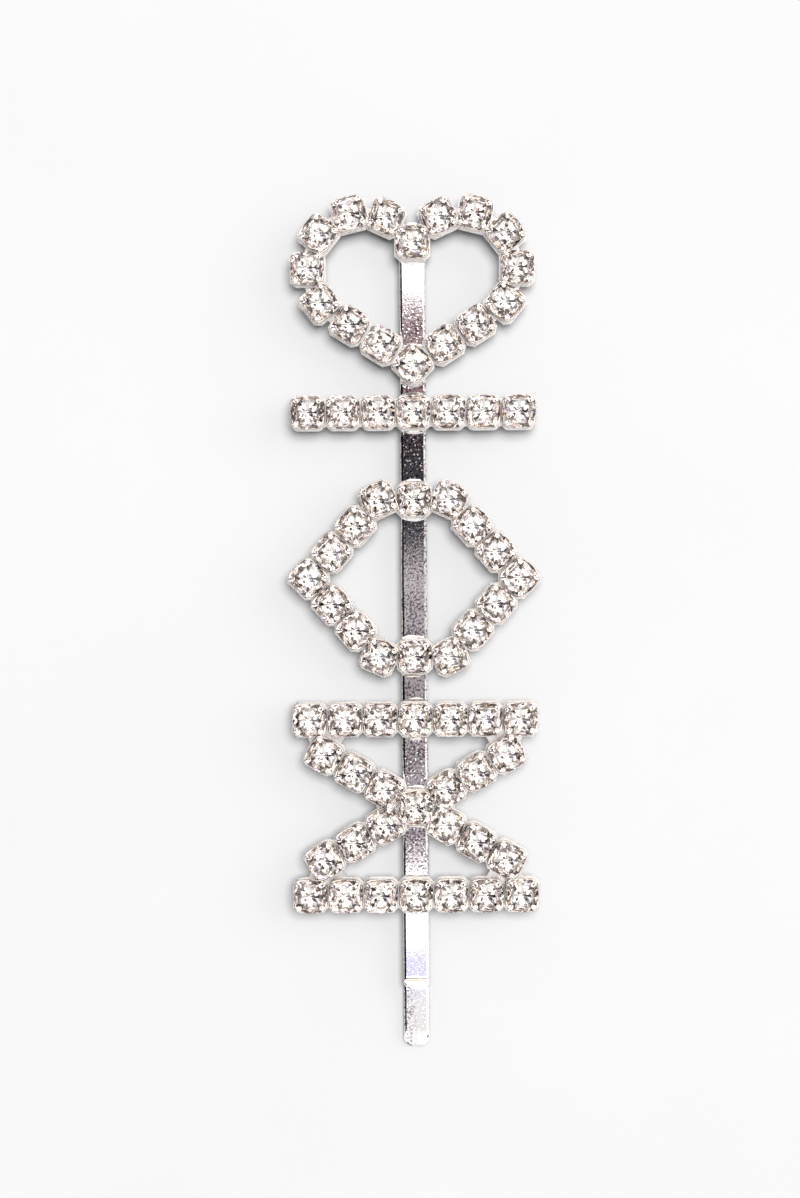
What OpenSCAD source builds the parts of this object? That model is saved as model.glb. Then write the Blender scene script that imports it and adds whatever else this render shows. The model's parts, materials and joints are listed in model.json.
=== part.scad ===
// Sprung hair grip with four stone-set ornaments soldered across its upper leg.
// The grip is one folded steel strip. Its closed end points along +Y, the ornaments
// face +Z, and it lies on its lower leg. Millimetres throughout.

/* [Stones] */
// Diameter of each stone at its girdle
stone_d = 3.16; // [2.2:0.02:4.2]
// Height of the crown, from girdle to table
crown_h = 0.55; // [0.4:0.05:0.8]
// Height of the straight band at the girdle
girdle_h = 0.12; // [0.08:0.02:0.2]
// Depth of the pointed back, from girdle to culet
pavilion_h = 1.35; // [1:0.05:1.8]
// Diameter of the flat table on top
table_d = 1.6; // [1:0.05:1.9]
// Diameter of the small flat at the bottom point
culet_d = 0.3; // [0.2:0.05:0.5]

/* [Claw cups] */
// How far a cup's flat side stands outside the girdle
cup_lip = 0.08; // [0.04:0.02:0.2]
// Clear space between two neighbouring cups in a row
cup_gap = 0.1; // [0.06:0.02:0.3]
// Chamfer on the cup's four upright corners
cup_chamfer = 0.55; // [0.4:0.05:0.7]
// Thickness of the cup's floor
cup_floor = 0.3; // [0.2:0.05:0.5]
// Width of the ledge that the stone's back rests on
seat_ledge = 0.2; // [0.12:0.02:0.3]
// Clearance between a stone and its cup and claws
seat_clear = 0.03; // [0.02:0.01:0.06]
// Width of each claw
claw_w = 0.42; // [0.3:0.02:0.55]
// Thickness of each claw
claw_t = 0.18; // [0.12:0.02:0.2]
// How far each claw folds in over the crown
claw_reach = 0.34; // [0.2:0.02:0.45]
// How far each claw runs down into its cup
claw_depth = 0.4; // [0.2:0.05:0.8]

/* [Backing frames] */
// Thickness of the frame that carries a row of cups
frame_t = 0.4; // [0.3:0.05:0.8]
// Width of the web between two pads of the frame
web_w = 1.7; // [1.2:0.1:2]
// How far the frame's square pad stands out past the cup on it
pad_rim = 0.1; // [0.04:0.02:0.2]
// Thickness of the solder between frame and leg
solder_t = 0.15; // [0.08:0.01:0.3]
// How far the solder runs out past a cup, along the leg
solder_run = 0.45; // [0.2:0.05:0.8]

/* [Spring strip] */
// Width of the steel strip
leg_w = 2.5; // [2:0.1:3.2]
// Thickness of the steel strip
leg_t = 0.5; // [0.4:0.05:0.7]
// Clear gap between the two legs at the bend
leg_gap = 1.8; // [1.4:0.1:2.6]
// Bare upper leg from the last row of stones to its tip
bare_tip = 9.4; // [6:0.2:14]
// How far the lower leg runs on past the upper leg
lower_extra = 5.8; // [3:0.2:9]
// Bend's outer end to the middle of the first stone on the leg
bend_lead = 1.2; // [0.8:0.1:2]
// Length of each crimp wave in the lower leg
wave_len = 9; // [7:0.25:11]
// Number of crimp waves
wave_count = 3; // [2:1:4]
// Clearance between the wave tops and the upper leg
wave_clear = 0.12; // [0.08:0.02:0.3]
// Height that the lower leg's tail lifts before it curls down
tail_rise = 0.6; // [0.3:0.05:0.9]
// Length over which the tail lifts
rise_len = 4; // [3:0.25:5]
// Length of the curl at the tail's end
curl_len = 1.3; // [1:0.1:2]
// Angle that the upper leg's tip flares up
flare_angle = 32; // [15:1:45]
// Bend radius of the flare, at the middle of the strip
flare_r = 1.6; // [1:0.1:2.5]
// Straight end of the flare
flare_end = 0.45; // [0.2:0.05:1]
// Length of the rounded tip, seen from above
tip_round = 0.8; // [0.4:0.1:1.2]

/* [Ornaments] */
// Radius of each heart lobe, through the stones' middles
lobe_r = 5.4; // [4.4:0.1:6.6]
// Rise of the heart's notch above the lobe middles, as an angle round the lobe
notch_rise = 27; // [20:1:36]
// Lobe middles to the heart's point
heart_drop = 9.4; // [7.8:0.1:11.4]
// Number of stones in a straight row
row_count = 7; // [5:2:9]
// Number of stones in the hexagon's top row and bottom row
hexagon_row = 3; // [3:2:5]
// Steps along each sloping side of the hexagon
hexagon_steps = 3; // [2:1:4]
// Slope of the hexagon's sides
hexagon_slope = 48; // [36:1:56]
// Steps along each arm of the crossed pair
arm_steps = 3; // [2:1:4]
// Slope of the crossed arms
arm_slope = 30; // [30:1:40]
// Clear space from the heart's frame to the bar's
heart_bar_gap = 0.8; // [0.4:0.1:3]
// Clear space from the bar's frame to the hexagon's
bar_hexagon_gap = 5; // [2:0.2:12]
// Clear space from the hexagon's frame to the bow's
hexagon_bow_gap = 2.6; // [1:0.2:8]

/* [Hidden] */
$fn = 48;
stone_r = stone_d / 2;
table_r = table_d / 2;
culet_r = culet_d / 2;
cup_w = stone_d + 2 * cup_lip;
pad_half = cup_w / 2 + pad_rim;
pitch = cup_w + cup_gap;
seat_r = stone_r - seat_ledge;
pavilion_slope = pavilion_h / (stone_r - culet_r);
crown_slope = crown_h / (stone_r - table_r);

// Heights above the surface that the grip lies on
leg_low = leg_t + leg_gap;
leg_top = leg_low + leg_t;
frame_low = leg_top + solder_t;
cup_low = frame_low + frame_t;
culet_clear = 0.05; // below each stone's point
girdle_low = cup_low + cup_floor + culet_clear + pavilion_h;
girdle_top = girdle_low + girdle_h;
rim_z = girdle_low - seat_ledge * pavilion_slope - seat_clear;

// ---- plane geometry ----
function turned(p, a) = [p.x * cos(a) - p.y * sin(a), p.x * sin(a) + p.y * cos(a)];

// The part of a convex outline on the near side of a line through m with outward normal n
function clipped(outline, m, n) = [
    for (i = [0:len(outline) - 1])
        let (a = outline[i], b = outline[(i + 1) % len(outline)], da = (a - m) * n, db = (b - m) * n)
        each concat(da <= 0 ? [a] : [], da * db < 0 ? [a + (b - a) * da / (da - db)] : [])
];
function clipped_by_all(outline, cuts, i = 0) =
    i == len(cuts) ? outline : clipped_by_all(clipped(outline, cuts[i][0], cuts[i][1]), cuts, i + 1);

// A cup's own ground between its neighbours: halfway to each, less a quarter of the gap
function own_ground(places, k) =
    let (
        here = [places[k].x, places[k].y],
        near = [
            for (j = [0:len(places) - 1])
                let (there = [places[j].x, places[j].y])
                if (j != k && norm(there - here) < 2 * cup_w) there
        ],
        cuts = [for (q = near) let (n = (q - here) / norm(q - here)) [(q + here) / 2 - n * cup_gap / 4, n]]
    )
    clipped_by_all([for (c = [[-1, -1], [1, -1], [1, 1], [-1, 1]]) here + c * cup_w], cuts);

// ---- places of the stones: [x, y, heading], y counted from each ornament's own zero ----
lobe_x = lobe_r * cos(notch_rise);
notch_y = lobe_r * sin(notch_rise);
notch_angle = 180 - notch_rise;
tip_reach = norm([lobe_x, heart_drop]);
tangent_angle = atan2(-heart_drop, -lobe_x) + acos(lobe_r / tip_reach);
lobe_arc = lobe_r * (notch_angle - tangent_angle) * PI / 180;
flank_len = sqrt(tip_reach * tip_reach - lobe_r * lobe_r);
tangent_point = [lobe_x + lobe_r * cos(tangent_angle), lobe_r * sin(tangent_angle)];
heart_steps = floor((lobe_arc + flank_len) / pitch);
heart_pitch = (lobe_arc + flank_len) / heart_steps;

// A point on the heart's right half, a given way round from the notch to the point
function heart_place(s) =
    s < lobe_arc
        ? let (a = notch_angle - s / lobe_r * 180 / PI) [lobe_x + lobe_r * cos(a), lobe_r * sin(a), a - 90]
        : let (p = tangent_point + ([0, -heart_drop] - tangent_point) * (s - lobe_arc) / flank_len)
            [p.x, p.y, tangent_angle - 90];
function mirrored(places) = [for (p = places) [-p.x, p.y, 180 - p[2]]];

heart_right = [for (i = [1:heart_steps - 1]) heart_place(i * heart_pitch)];
heart_middle = [[0, notch_y, 0], [0, -heart_drop, 45]];

row = [for (i = [0:row_count - 1]) [(i - (row_count - 1) / 2) * pitch, 0, 0]];
function row_at(y) = [for (p = row) [p.x, y, 0]];

hexagon_half_row = (hexagon_row - 1) / 2;
hexagon_half_h = hexagon_steps * pitch * sin(hexagon_slope);
hexagon_half_w = hexagon_half_row * pitch + hexagon_steps * pitch * cos(hexagon_slope);
hexagon_corner = [hexagon_half_row * pitch, hexagon_half_h];
hexagon_upper_right = concat(
    [for (i = [1:1:hexagon_half_row - 1]) [i * pitch, hexagon_half_h, 0]],
    [
        for (i = [0:hexagon_steps - 1])
            [
                hexagon_corner.x + i * pitch * cos(hexagon_slope),
                hexagon_corner.y - i * pitch * sin(hexagon_slope),
                i == 0 ? -hexagon_slope / 2 : -hexagon_slope
            ]
    ]
);
hexagon_upper = concat([[0, hexagon_half_h, 0]], hexagon_upper_right, mirrored(hexagon_upper_right));
hexagon_lower = [for (p = hexagon_upper) [p.x, -p.y, -p[2]]];
hexagon_ends = [[hexagon_half_w, 0, 45], [-hexagon_half_w, 0, 45]];

bow_half_h = (arm_steps * sin(arm_slope) + 1) * pitch;
function arm(slope) = [
    for (i = [-arm_steps:arm_steps]) if (i != 0) [i * pitch * cos(slope), i * pitch * sin(slope), slope]
];

// ---- each ornament's place along the leg, its end row's middle counted down from the bend ----
pad_diagonal = sqrt(2) * pad_half - cup_chamfer / sqrt(2); // from a pad's middle to its cut corner
heart_y = -bend_lead - notch_y;
bar_y = heart_y - heart_drop - pad_diagonal - heart_bar_gap - pad_half;
hexagon_y = bar_y - 2 * pad_half - bar_hexagon_gap - hexagon_half_h;
bow_y = hexagon_y - hexagon_half_h - 2 * pad_half - hexagon_bow_gap - bow_half_h;
upper_tip = bow_y - bow_half_h - bare_tip;
lower_tip = upper_tip - lower_extra;

// A square of half-width w with its corners cut off
function cut_square(w) = [
    for (side = [0:3])
        each [for (p = [[w, cup_chamfer - w], [w, w - cup_chamfer]]) turned(p, 90 * side)]
];
cup_outline = cut_square(cup_w / 2);
pad_outline = cut_square(pad_half);

// The origin is below the middle of the whole: the highest pad corner and the lower tip are as far away
heart_top = max([for (p = heart_right) for (c = pad_outline) p.y + turned(c, p[2]).y]);
bend_y = (-(heart_y + heart_top) - lower_tip) / 2;

function at(places, y) = [for (p = places) [p.x, p.y + y + bend_y, p[2]]];
heart_all = at(concat(heart_middle, heart_right, mirrored(heart_right)), heart_y);
heart_split = len(heart_middle) + len(heart_right);
bar_all = at(row, bar_y);
hexagon_all = at(concat(hexagon_upper, hexagon_lower, hexagon_ends), hexagon_y);
hexagon_split = len(hexagon_upper);
bow_all = at(
    concat(row_at(bow_half_h), row_at(-bow_half_h), [[0, 0, 0]], arm(arm_slope), arm(-arm_slope)),
    bow_y
);

// Which stones of an ornament belong to one run
heart_left_run = [for (i = [heart_split:len(heart_all) - 1]) i];
heart_right_run = [for (i = [0:heart_split - 1]) i];
bar_run = [for (i = [0:row_count - 1]) i];
hexagon_upper_run = [for (i = [0:hexagon_split - 1]) i];
hexagon_lower_run = [for (i = [hexagon_split:len(hexagon_all) - 1]) i];
bow_top_run = [for (i = [0:row_count - 1]) i];
bow_bottom_run = [for (i = [row_count:2 * row_count - 1]) i];
rising_run = [for (i = [2 * row_count:2 * row_count + 2 * arm_steps]) i];
falling_run = [for (i = [2 * row_count + 2 * arm_steps + 1:len(bow_all) - 1]) i];

// ---- stones ----
module stone() {
    rotate_extrude()
        polygon([
            [0, girdle_low - pavilion_h],
            [culet_r, girdle_low - pavilion_h],
            [stone_r, girdle_low],
            [stone_r, girdle_top],
            [table_r, girdle_top + crown_h],
            [0, girdle_top + crown_h]
        ]);
}

module stones(places, run) {
    color("white")
        for (k = run)
            translate([places[k].x, places[k].y, 0]) rotate(places[k][2]) stone();
}

// ---- claw cups ----
// Side view of one claw, out from the stone's axis: it stands in the cup's corner and folds over the crown
claw_in = stone_r + seat_clear;
claw_out = claw_in + claw_t;
claw_tip = stone_r - claw_reach;
claw_root = rim_z - claw_depth;
claw_tip_low = girdle_top + claw_reach * crown_slope + seat_clear;
claw_profile = [
    [claw_in, claw_root],
    [claw_out, claw_root],
    [claw_out, girdle_top + seat_clear],
    [claw_tip + claw_t / 2, claw_tip_low + claw_t],
    [claw_tip, claw_tip_low + claw_t / 2],
    [claw_tip, claw_tip_low],
    [claw_in, girdle_top + seat_clear]
];

module claw() {
    rotate([90, 0, 0]) translate([0, 0, -claw_w / 2]) linear_extrude(claw_w) polygon(claw_profile);
}

module cup_shell() {
    difference() {
        translate([0, 0, cup_low]) linear_extrude(rim_z - cup_low) polygon(cup_outline);
        translate([0, 0, cup_low + cup_floor]) cylinder(r = seat_r, h = rim_z - cup_low);
    }
}

module cup() {
    cup_shell();
    for (corner = [45:90:315]) rotate(corner) claw();
}

module cups(places, run) {
    over = 1; // the cutting block runs past both ends of a cup
    color("silver")
        for (k = run)
            intersection() {
                translate([places[k].x, places[k].y, 0]) rotate(places[k][2]) cup();
                translate([0, 0, cup_low - over])
                    linear_extrude(girdle_top + crown_h - cup_low + 2 * over) polygon(own_ground(places, k));
            }
}

// ---- backing frames ----
module pads(places) {
    for (p = places)
        translate([p.x, p.y, frame_low]) rotate(p[2]) linear_extrude(frame_t) polygon(pad_outline);
}

module web(a, b) {
    span = [b.x - a.x, b.y - a.y];
    translate([a.x, a.y, frame_low]) rotate(atan2(span.y, span.x)) translate([0, -web_w / 2, 0])
        cube([norm(span), web_w, frame_t]);
}

// How far apart two neighbours may be, in pitches, and still be joined by a web
row_reach = 1.05;
bow_reach = 1.2;

// Webs between every two places that are no further apart than reach
module frame(places, reach) {
    color("silver")
        union() {
            pads(places);
            for (i = [0:len(places) - 1])
                for (j = [0:len(places) - 1])
                    if (j > i && norm([places[j].x - places[i].x, places[j].y - places[i].y]) < reach)
                        web(places[i], places[j]);
        }
}

// ---- solder under the places where an ornament crosses the leg ----
module solder(rows) {
    length = cup_w + 2 * solder_run;
    color("gainsboro")
        for (y = rows)
            translate([0, y + bend_y, leg_top])
                intersection() {
                    translate([-leg_w / 2, -length / 2, 0]) cube([leg_w, length, solder_t]);
                    cylinder(d1 = length, d2 = length - 2 * solder_t, h = solder_t);
                }
}

// ---- the spring strip ----
function lane(path) = [
    for (i = [0:len(path) - 1])
        let (d = path[min(i + 1, len(path) - 1)] - path[max(i - 1, 0)]) [-d.y, d.x] / norm(d)
];
// A strip of leg_t about a centreline of [y, z] points
function thick(path) =
    let (n = lane(path), last = len(path) - 1)
    concat(
        [for (i = [0:last]) path[i] + n[i] * leg_t / 2],
        [for (i = [last:-1:0]) path[i] - n[i] * leg_t / 2]
    );

// Segments along each curved stretch of the legs
flare_steps = 8;
wave_steps = 24;
rise_steps = 12;
curl_steps = 8;

bend_r = (leg_gap + leg_t) / 2;
bend_z = leg_t + leg_gap / 2;
bend_middle = bend_y - bend_r - leg_t / 2;

flare_len = flare_r * sin(flare_angle) + flare_end * cos(flare_angle);
flare_start = upper_tip + bend_y + flare_len;
flare_lift = flare_r * (1 - cos(flare_angle)) + flare_end * sin(flare_angle);
upper_path = concat(
    [[bend_middle, leg_top - leg_t / 2]],
    [
        for (i = [0:flare_steps])
            let (a = flare_angle * i / flare_steps)
            [flare_start - flare_r * sin(a), leg_top - leg_t / 2 + flare_r * (1 - cos(a))]
    ],
    [[upper_tip + bend_y, leg_top - leg_t / 2 + flare_lift]]
);

wave_h = leg_gap - wave_clear;
waves_len = wave_len * wave_count;
curl_start = lower_tip + bend_y + curl_len;
rise_start = upper_tip + bend_y + rise_len;
wave_start = rise_start + waves_len;
lower_path = concat(
    [[bend_middle, leg_t / 2]],
    [
        for (i = [0:wave_steps * wave_count])
            [wave_start - i * wave_len / wave_steps, leg_t / 2 + wave_h / 2 * (1 - cos(360 * i / wave_steps))]
    ],
    [
        for (i = [1:rise_steps])
            [rise_start - i * rise_len / rise_steps, leg_t / 2 + tail_rise / 2 * (1 - cos(180 * i / rise_steps))]
    ],
    [
        for (i = [0:curl_steps])
            [curl_start - i * curl_len / curl_steps, leg_t / 2 + tail_rise * cos(90 * i / curl_steps)]
    ]
);

// A leg seen from above: straight sides and a rounded tip
module leg_plan(tip) {
    polygon(concat(
        [[leg_w / 2, bend_middle], [-leg_w / 2, bend_middle]],
        [for (a = [-90:15:90]) [leg_w / 2 * sin(a), tip + tip_round * (1 - cos(a))]]
    ));
}

module leg(path, tip) {
    color("lightgray")
        intersection() {
            translate([-leg_w, 0, 0]) rotate([90, 0, 90]) linear_extrude(2 * leg_w) polygon(thick(path));
            translate([0, 0, -leg_top]) linear_extrude(3 * leg_top) leg_plan(tip);
        }
}

module spring_bend() {
    color("lightgray")
        translate([-leg_w / 2, bend_middle, bend_z]) rotate([90, 0, 90]) rotate([0, 0, -90])
            rotate_extrude(angle = 180) translate([leg_gap / 2, 0]) square([leg_t, leg_w]);
}

leg(upper_path, upper_tip + bend_y);  // pin_upper_leg
spring_bend();  // pin_spring_bend
leg(lower_path, lower_tip + bend_y);  // pin_lower_leg

frame(heart_all, heart_pitch * row_reach);  // heart_frame
cups(heart_all, heart_left_run);  // heart_left_cups
cups(heart_all, heart_right_run);  // heart_right_cups
stones(heart_all, heart_left_run);  // heart_left_stones
stones(heart_all, heart_right_run);  // heart_right_stones
solder([heart_y + notch_y, heart_y - heart_drop]);  // heart_solder

frame(bar_all, pitch * row_reach);  // bar_frame
cups(bar_all, bar_run);  // bar_cups
stones(bar_all, bar_run);  // bar_stones
solder([bar_y]);  // bar_solder

frame(hexagon_all, pitch * row_reach);  // hexagon_frame
cups(hexagon_all, hexagon_upper_run);  // hexagon_upper_cups
cups(hexagon_all, hexagon_lower_run);  // hexagon_lower_cups
stones(hexagon_all, hexagon_upper_run);  // hexagon_upper_stones
stones(hexagon_all, hexagon_lower_run);  // hexagon_lower_stones
solder([hexagon_y + hexagon_half_h, hexagon_y - hexagon_half_h]);  // hexagon_solder

frame(bow_all, pitch * bow_reach);  // bow_frame
cups(bow_all, bow_top_run);  // bow_top_cups
cups(bow_all, bow_bottom_run);  // bow_bottom_cups
cups(bow_all, rising_run);  // bow_rising_cups
cups(bow_all, falling_run);  // bow_falling_cups
stones(bow_all, bow_top_run);  // bow_top_stones
stones(bow_all, bow_bottom_run);  // bow_bottom_stones
stones(bow_all, rising_run);  // bow_rising_stones
stones(bow_all, falling_run);  // bow_falling_stones
solder([bow_y + bow_half_h, bow_y, bow_y - bow_half_h]);  // bow_solder
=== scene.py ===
# Rhinestone hair slide: cut stones, claw cups, backing plates, solder and the sprung strip
import json
import math
import random

import bmesh
import bpy
import numpy as np
from mathutils import Matrix, Vector


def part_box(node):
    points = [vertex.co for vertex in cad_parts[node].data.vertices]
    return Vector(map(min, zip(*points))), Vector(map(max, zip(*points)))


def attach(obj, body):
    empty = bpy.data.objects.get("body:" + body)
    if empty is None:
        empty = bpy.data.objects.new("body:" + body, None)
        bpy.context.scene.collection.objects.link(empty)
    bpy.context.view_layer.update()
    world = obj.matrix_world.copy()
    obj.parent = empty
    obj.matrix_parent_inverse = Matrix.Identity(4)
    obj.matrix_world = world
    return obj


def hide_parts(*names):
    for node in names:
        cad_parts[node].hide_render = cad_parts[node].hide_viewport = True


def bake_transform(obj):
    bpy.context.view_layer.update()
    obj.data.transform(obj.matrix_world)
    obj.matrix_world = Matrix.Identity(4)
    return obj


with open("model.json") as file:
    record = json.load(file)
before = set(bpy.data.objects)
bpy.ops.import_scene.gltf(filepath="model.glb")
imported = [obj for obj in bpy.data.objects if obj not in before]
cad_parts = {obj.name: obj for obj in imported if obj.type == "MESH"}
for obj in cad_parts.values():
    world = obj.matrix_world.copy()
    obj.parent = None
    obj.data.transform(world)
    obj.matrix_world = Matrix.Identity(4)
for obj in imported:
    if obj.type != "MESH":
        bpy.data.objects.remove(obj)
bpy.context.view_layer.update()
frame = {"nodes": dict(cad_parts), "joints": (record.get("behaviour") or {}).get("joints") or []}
mm = 0.001
print("frame loaded:", len(frame["nodes"]), "nodes")


def looseParts(node):
    # the separate solids of a CAD node, each as an array of its corners
    mesh = frame["nodes"][node].data
    corners = np.array([v.co for v in mesh.vertices], float)
    keys, same = np.unique(np.round(corners / 1e-7).astype(np.int64), axis=0, return_inverse=True)
    same = same.ravel()
    owner = list(range(len(keys)))

    def root(i):
        while owner[i] != i:
            owner[i] = owner[owner[i]]
            i = owner[i]
        return i

    for face in mesh.polygons:
        first = root(same[face.vertices[0]])
        for corner in face.vertices[1:]:
            owner[root(same[corner])] = first
    groups = {}
    for i in range(len(keys)):
        groups.setdefault(root(i), []).append(keys[i] * 1e-7)
    return [np.array(g) for g in groups.values()]


def middle(part):
    return (part.min(0) + part.max(0)) / 2


def clawHeading(part, centre, level):
    # the cup's turn, from where its claws stand: they repeat every quarter turn
    top = part[part[:, 2] > level] - centre
    angles = np.arctan2(top[:, 1], top[:, 0])
    mean = math.atan2(np.sin(4 * angles).sum(), np.cos(4 * angles).sum()) / 4
    return mean - math.pi / 4


stoneParts = {n: looseParts(n) for n in sorted(frame["nodes"]) if n.endswith("_stones")}
oneStone = stoneParts["bar_stones"][0]
reach = np.hypot(*(oneStone - middle(oneStone))[:, :2].T)
girdle = oneStone[reach > reach.max() - 1e-6][:, 2]
stone = {
    "radius": reach.max() + 0.06 * mm,   # fills its cup to the edge
    "tableRadius": reach[oneStone[:, 2] > oneStone[:, 2].max() - 1e-6].max(),
    "culet": oneStone[:, 2].min(),
    "girdleLow": girdle.min(),
    "girdleTop": girdle.max(),
    "table": oneStone[:, 2].max(),
}
cupLow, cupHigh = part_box("bar_cups")
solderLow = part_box("bar_solder")[0]
upperLow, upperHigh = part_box("pin_upper_leg")
lowerLow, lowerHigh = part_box("pin_lower_leg")
cup = {
    "half": (cupHigh.y - cupLow.y) / 2 - 0.03 * mm,
    "low": cupLow.z,
    "corner": 0.80 * mm,
    "rimDrop": 0.34 * mm,   # the rim's dip below the girdle, midway between claws
    "clawWidth": 0.54 * mm,
    "clawThick": 0.15 * mm,
    "clawReach": 0.36 * mm,  # how far a claw folds in over the crown
    "clear": 0.025 * mm,
}
places = {}
for node, parts in stoneParts.items():
    cups = looseParts(node.replace("_stones", "_cups"))
    cupMiddles = np.array([middle(c)[:2] for c in cups])
    places[node[:-7]] = []
    for part in parts:
        centre = middle(part)
        own = cups[int(np.argmin(np.hypot(*(cupMiddles - centre[:2]).T)))]
        places[node[:-7]].append((centre[0], centre[1], clawHeading(own, centre, stone["girdleTop"])))
print("stones found:", sum(len(p) for p in places.values()))


def newMaterial(name, **fixed):
    material = bpy.data.materials.new(name)
    material.use_nodes = True
    shader = material.node_tree.nodes["Principled BSDF"]
    for socket, value in fixed.items():
        shader.inputs[socket.replace("_", " ")].default_value = value
    return material, material.node_tree, shader


def addNode(tree, kind, inputs=None, **settings):
    node = tree.nodes.new(kind)
    for key, value in settings.items():
        setattr(node, key, value)
    for key, value in (inputs or {}).items():
        if isinstance(value, bpy.types.NodeSocket):
            tree.links.new(value, node.inputs[key])
        else:
            node.inputs[key].default_value = value
    return node


def rampNode(tree, source, stops, mode="LINEAR"):
    ramp = addNode(tree, "ShaderNodeValToRGB", {"Fac": source})
    ramp.color_ramp.interpolation = mode
    elements = ramp.color_ramp.elements
    elements.remove(elements[1])
    elements[0].position = stops[0][0]
    elements[0].color = (*stops[0][1], 1)
    for place, colour in stops[1:]:
        elements.new(place).color = (*colour, 1)
    return ramp.outputs["Color"]


def greys(*stops):
    return [(place, (level,) * 3) for place, level in stops]


def calc(tree, kind, *values):
    return addNode(tree, "ShaderNodeMath", dict(enumerate(values)), operation=kind).outputs[0]


def span(tree, value, low, high, kind="LINEAR"):
    # 0 at low, 1 at high
    return addNode(tree, "ShaderNodeMapRange", {"Value": value, "From Min": low, "From Max": high},
                   interpolation_type=kind).outputs[0]


def mixed(tree, share, first, second, kind="MIX"):
    node = tree.nodes.new("ShaderNodeMix")
    node.data_type = "RGBA"
    node.blend_type = kind
    for key, value in ((0, share), (6, first), (7, second)):
        if isinstance(value, bpy.types.NodeSocket):
            tree.links.new(value, node.inputs[key])
        else:
            node.inputs[key].default_value = value
    return node.outputs[2]


def noise(tree, where, scale, detail):
    node = addNode(tree, "ShaderNodeTexNoise", {"Vector": where, "Scale": scale, "Detail": detail})
    return node.outputs["Fac"]


def bumped(tree, height, strength, normal=None):
    inputs = {"Height": height, "Distance": 0.01 * mm, "Strength": strength}
    if normal is not None:
        inputs["Normal"] = normal
    return addNode(tree, "ShaderNodeBump", inputs).outputs["Normal"]


platedLook = {
    "cloud": 420,              # patterns per metre
    "grain": 4500,
    "speck": 4300,
    "pits": 3800,
    "cloudShare": 0.25,        # of the tone; the specks make the rest
    "grainDepth": 0.10,
    "pitDepth": 0.22,
    "worn": (0.24, 0.21, 0.22),
    "dull": (0.78, 0.74, 0.76),
    "bright": (0.98, 0.97, 0.97),
    "smooth": (0.97, 0.96, 0.96, 1),
    "reach": 42 * mm,          # the strip's ends, either side of the origin
    "tailStart": -35.6 * mm,   # where the lower leg comes out past the upper leg's lip
    "rubFrom": 0.1 * mm,
    "rubTo": -0.7 * mm,
}


def platedStrip():
    look = platedLook
    material, tree, shader = newMaterial("platedStrip", Metallic=1.0, IOR=1.5)
    where = addNode(tree, "ShaderNodeTexCoord").outputs["Object"]
    cloud = noise(tree, where, look["cloud"], 3.0)
    grain = noise(tree, where, look["grain"], 2.0)
    pits = addNode(tree, "ShaderNodeTexVoronoi", {"Vector": where, "Scale": look["pits"]})
    speck = noise(tree, where, look["speck"], 3.0)
    tone = calc(tree, "ADD", calc(tree, "MULTIPLY", cloud, look["cloudShare"]),
                calc(tree, "MULTIPLY", speck, 1 - look["cloudShare"]))
    specks = rampNode(tree, tone, [(0.42, look["worn"]), (0.48, look["dull"]), (0.53, look["bright"])])
    # the plating is smooth at both ends, and past the upper leg's lip it is rubbed on one side only
    axes = addNode(tree, "ShaderNodeSeparateXYZ", {0: where}).outputs
    share = span(tree, axes["Y"], -look["reach"], look["reach"])
    rubbed = rampNode(tree, share, greys((0.0, 0.0), (0.165, 0.03), (0.20, 1.0), (0.86, 1.0),
                                         (0.89, 0.08)))
    tail = calc(tree, "MULTIPLY", span(tree, axes["X"], look["rubFrom"], look["rubTo"]),
                calc(tree, "LESS_THAN", axes["Y"], look["tailStart"]))
    wear = calc(tree, "MAXIMUM", rubbed, tail)
    tree.links.new(mixed(tree, wear, look["smooth"], specks), shader.inputs["Base Color"])
    tree.links.new(rampNode(tree, grain, greys((0.3, 0.02), (0.75, 0.06))), shader.inputs["Roughness"])
    dimple = rampNode(tree, pits.outputs["Distance"], greys((0.0, 0.0), (0.3, 1.0)))
    fine = bumped(tree, grain, look["grainDepth"])
    tree.links.new(bumped(tree, dimple, look["pitDepth"], fine), shader.inputs["Normal"])
    return material


metalLook = {
    "claspMetal": {"low": (0.76, 0.72, 0.68), "high": (0.90, 0.87, 0.83), "rough": (0.04, 0.10),
                   "bump": 0.3},
    "plateMetal": {"low": (0.72, 0.72, 0.71), "high": (0.82, 0.82, 0.81), "rough": (0.22, 0.34),
                   "bump": 0.35},
    "solderMetal": {"low": (0.80, 0.78, 0.75), "high": (0.92, 0.91, 0.89), "rough": (0.08, 0.2),
                    "bump": 0.3},
}
# painted shade: the height band below the stones' girdle and its darker tone
seatShadeLook = {"low": 4.3 * mm, "high": 5.2 * mm, "tone": (0.74, 0.70, 0.67)}


def softMetal(name, shadeSeat=False):
    # cast and plated metal: a gentle ripple and a little variation in colour and polish; on the cups,
    # painted shade below the stone's seat
    look = metalLook[name]
    material, tree, shader = newMaterial(name, Metallic=1.0)
    where = addNode(tree, "ShaderNodeTexCoord").outputs["Object"]
    cloud = noise(tree, where, 900.0, 4.0)
    grain = noise(tree, where, 5200.0, 2.0)
    tint = rampNode(tree, cloud, [(0.3, look["low"]), (0.7, look["high"])])
    if shadeSeat:
        # painted shade: the metal is darker by the stone's seat, under the girdle's overhang, than on
        # the claws and the foot
        level = addNode(tree, "ShaderNodeSeparateXYZ", {0: where}).outputs["Z"]
        white, tone = (1.0, 1.0, 1.0), seatShadeLook["tone"]
        share = span(tree, level, seatShadeLook["low"], seatShadeLook["high"])
        dull = rampNode(tree, share, [(0.0, white), (0.35, tone), (0.75, tone), (1.0, white)])
        tint = mixed(tree, 1.0, tint, dull, "MULTIPLY")
    tree.links.new(tint, shader.inputs["Base Color"])
    polish = rampNode(tree, cloud, greys((0.3, look["rough"][0]), (0.7, look["rough"][1])))
    tree.links.new(polish, shader.inputs["Roughness"])
    tree.links.new(bumped(tree, grain, look["bump"]), shader.inputs["Normal"])
    return material


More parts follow.
